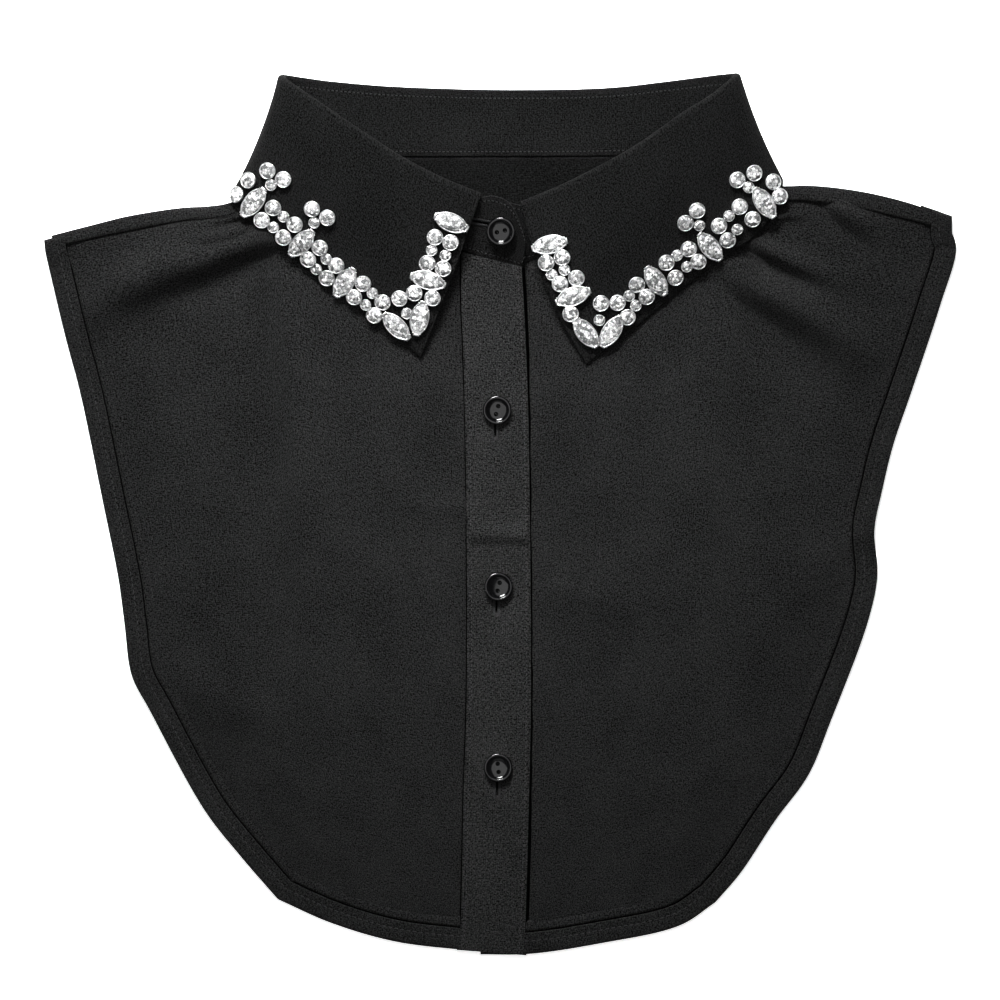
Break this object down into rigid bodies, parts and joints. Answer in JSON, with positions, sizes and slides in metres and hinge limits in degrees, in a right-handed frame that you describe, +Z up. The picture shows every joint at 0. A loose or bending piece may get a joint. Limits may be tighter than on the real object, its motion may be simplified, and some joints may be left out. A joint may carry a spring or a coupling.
{
  "type": "detachable shirt collar with a bib front and rhinestone trim",
  "caption": "Black cloth false shirt collar with a buttoned bib front, laid flat, its pointed wings edged with sewn-on rhinestones.",
  "frame": {"origin": "on the surface the collar lies on, under the middle of its outline", "axes": "+X across the bib to the right of the picture, +Y from the bottom hem up to the neck, +Z up off the surface, towards the viewer of the front"},
  "size_m": [0.3733, 0.3617, 0.0224],
  "materials": {
    "cloth": "matte black woven cotton and viscose with a fine crepe grain",
    "buttons": "glossy black polyester resin",
    "rhinestones": "clear cut glass, foiled, in silver-plated brass cups"
  },
  "bodies": {
    "root": {"back_panel": "cloth", "front_left": "cloth", "front_right": "cloth", "placket": "cloth", "collar_stand": "cloth", "collar_leaf": "cloth", "button_1": "buttons", "button_2": "buttons", "button_3": "buttons", "button_4": "buttons", "rhinestones_left": "rhinestones", "rhinestones_right": "rhinestones"}
  },
  "joints": []
}
